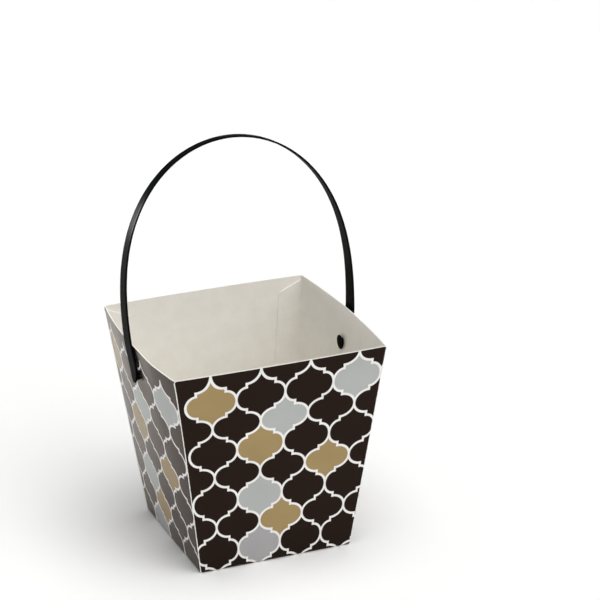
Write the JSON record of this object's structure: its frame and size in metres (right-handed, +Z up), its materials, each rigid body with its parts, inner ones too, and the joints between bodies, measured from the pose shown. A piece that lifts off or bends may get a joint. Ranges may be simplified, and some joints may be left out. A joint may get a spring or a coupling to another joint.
{
  "type": "paperboard food pail with swing handle",
  "caption": "Square open-topped paperboard pail, wider at the rim, printed with a trellis pattern, with a flat black plastic handle that swings over the opening.",
  "frame": {"origin": "middle of the underside of the base, midway between the walls", "axes": "+Z up; the handle runs along X, from the left wall at -X to the right wall at +X; the front wall faces -Y"},
  "size_m": [0.113, 0.104, 0.1932],
  "materials": {
    "coated_board": "gloss",
    "handle_plastic": "gloss"
  },
  "bodies": {
    "pail": {"carton": "coated_board"},
    "handle": {"handle": "handle_plastic"}
  },
  "joints": [
    {"name": "handle_swing", "type": "hinge", "parent": "pail", "child": "handle", "pos_m": [0, 0, 0.0875], "axis": [1, 0, 0], "range_deg": [-133, 147]}
  ]
}
